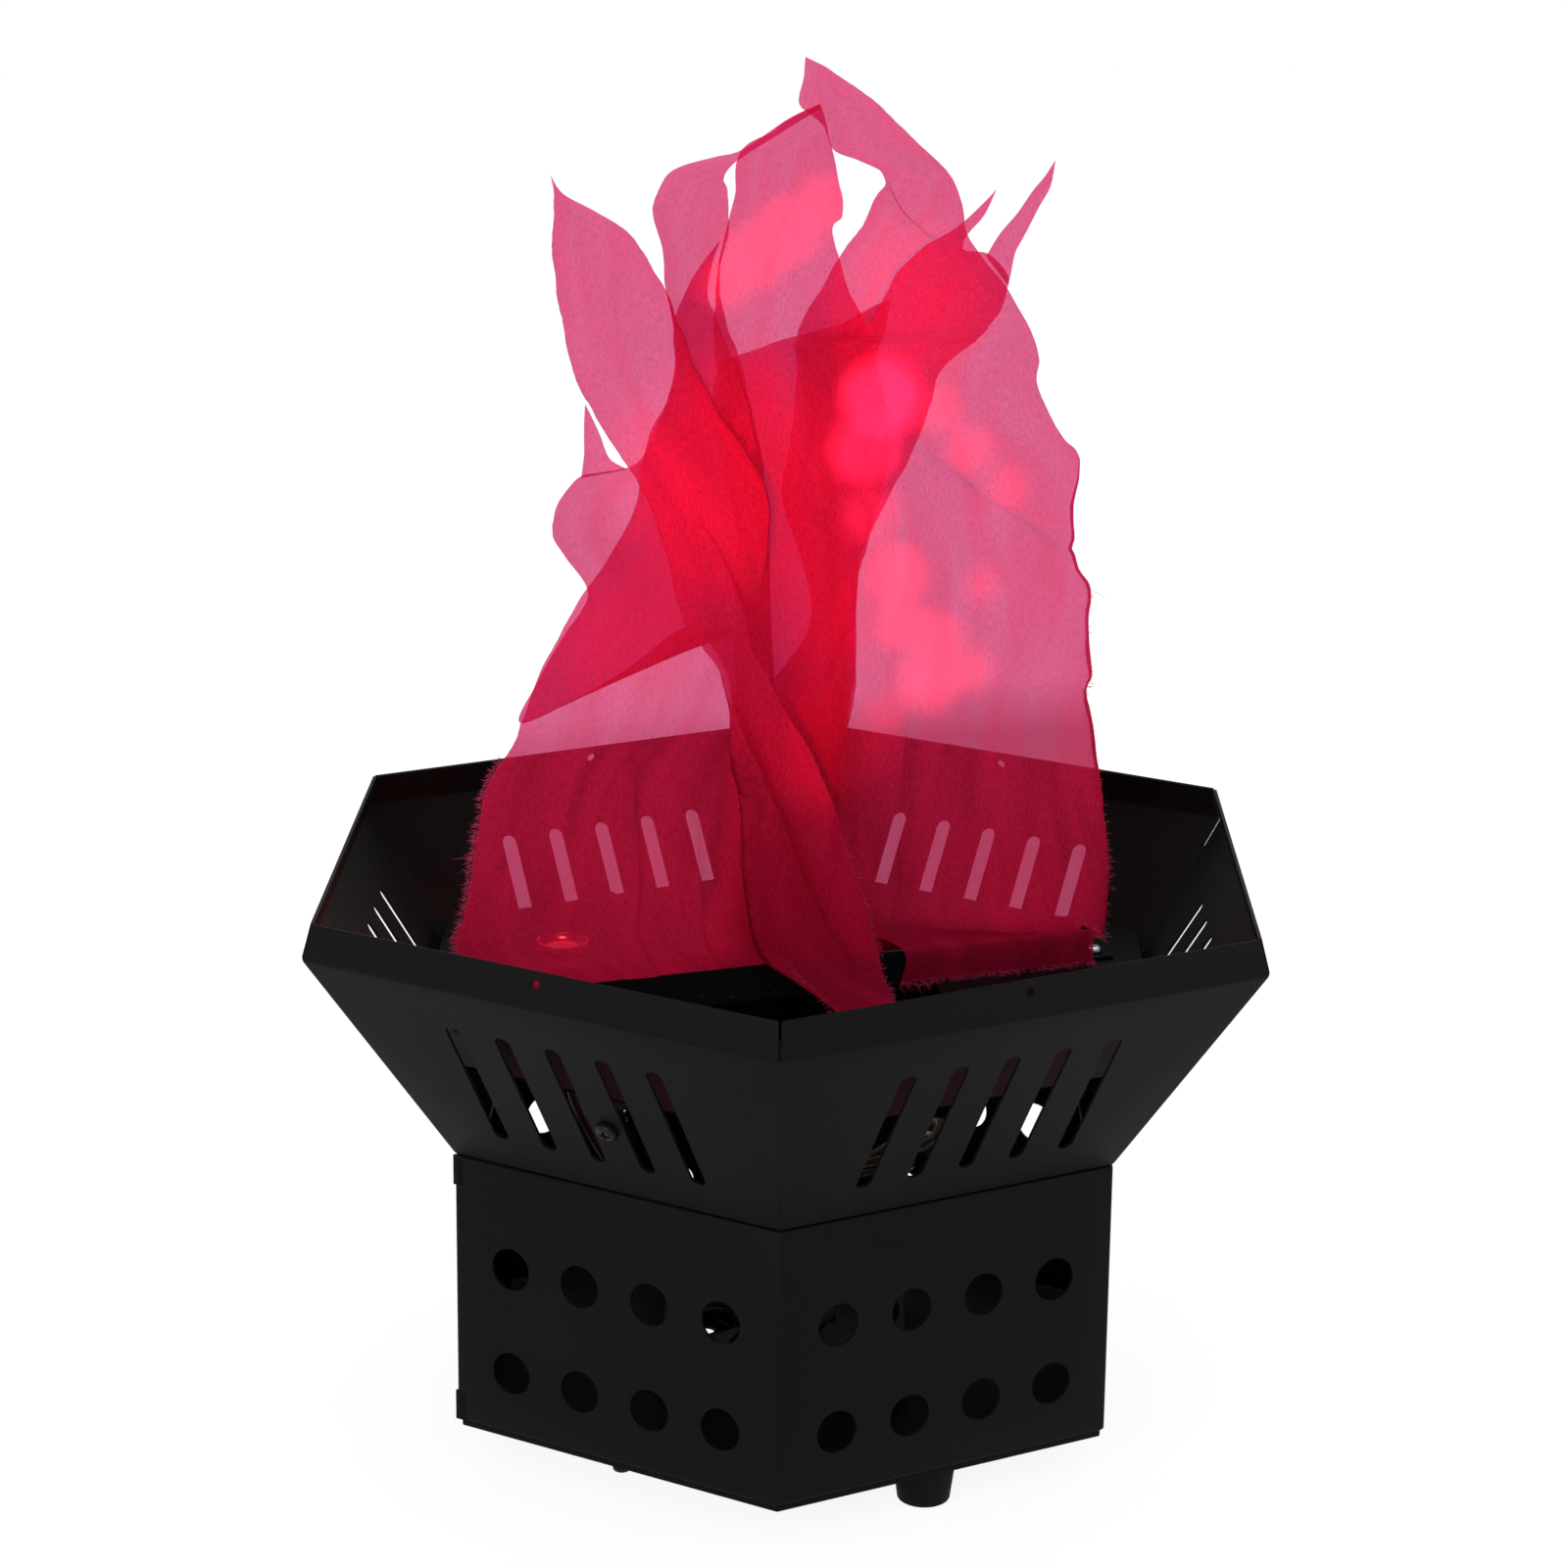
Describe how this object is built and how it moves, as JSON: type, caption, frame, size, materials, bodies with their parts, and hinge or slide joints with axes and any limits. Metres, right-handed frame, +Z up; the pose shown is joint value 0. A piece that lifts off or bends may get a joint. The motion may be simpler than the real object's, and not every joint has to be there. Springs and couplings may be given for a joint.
{
  "type": "silk flame effect light",
  "caption": "Hexagonal black steel fire bowl with slotted flared sides, a fan in its vented base, LED lamps in its deck and upright red silk leaves that flutter like flames.",
  "frame": {"origin": "on the surface that the feet stand on, under the centre of the box", "axes": "+Z up along the flames, -Y towards the front corner of the hexagon, +X to the right seen from the front"},
  "size_m": [0.295, 0.3408, 0.4411],
  "materials": {
    "black_steel": "fine textured black powder coat",
    "foot_rubber": "matte",
    "black_screw": "black oxide, semi-gloss",
    "bright_steel": "zinc plated",
    "black_plastic": "moulded, satin",
    "orange_lead": "smooth insulation",
    "black_lead": "smooth insulation",
    "lens": "clear, lit red from below",
    "led_board": "white solder mask",
    "sink_aluminium": "bare, extruded fins",
    "red_silk": "thin woven silk, translucent, frayed cut edges"
  },
  "bodies": {
    "light": {"base_box": "black_steel", "bottom_plate": "black_steel", "flare_tray": "black_steel", "deck": "black_steel", "silk_collar": "black_steel", "foot_1": "foot_rubber", "foot_2": "foot_rubber", "foot_3": "foot_rubber", "foot_screw_1": "black_screw", "foot_screw_2": "black_screw", "foot_screw_3": "black_screw", "foot_nut_1": "bright_steel", "foot_nut_2": "bright_steel", "foot_nut_3": "bright_steel", "plate_screw_1": "black_screw", "plate_screw_2": "black_screw", "plate_screw_3": "black_screw", "tray_screw_1": "black_screw", "tray_screw_2": "black_screw", "tray_screw_3": "black_screw", "deck_screw_1": "black_screw", "deck_screw_2": "black_screw", "deck_screw_3": "black_screw", "deck_nut_1": "bright_steel", "deck_nut_2": "bright_steel", "deck_nut_3": "bright_steel", "collar_screw_1": "bright_steel", "collar_screw_2": "bright_steel", "fan_frame": "black_plastic", "fan_screw_1": "black_screw", "fan_screw_2": "black_screw", "fan_screw_3": "black_screw", "fan_screw_4": "black_screw", "driver_case": "black_plastic", "power_inlet": "black_plastic", "inlet_nut": "bright_steel", "lamp_lead_1": "orange_lead", "lamp_lead_2": "orange_lead", "lamp_lead_3": "orange_lead", "fan_lead": "black_lead", "inlet_lead": "black_lead", "lamp_lens_1": "lens", "lamp_lens_2": "lens", "lamp_lens_3": "lens", "lamp_board_1": "led_board", "lamp_board_2": "led_board", "lamp_board_3": "led_board", "lamp_sink_1": "sink_aluminium", "lamp_sink_2": "sink_aluminium", "lamp_sink_3": "sink_aluminium", "silk_right": "red_silk", "silk_left": "red_silk", "silk_front_left": "red_silk", "silk_front_right": "red_silk", "silk_rear_left": "red_silk", "silk_centre": "red_silk", "silk_back": "red_silk"},
    "impeller": {"fan_rotor": "black_plastic", "fan_shaft": "bright_steel"}
  },
  "joints": [
    {"name": "fan_spin", "type": "hinge", "parent": "light", "child": "impeller", "pos_m": [0, 0, 0.024], "axis": [0, 0, 1], "continuous": true}
  ]
}
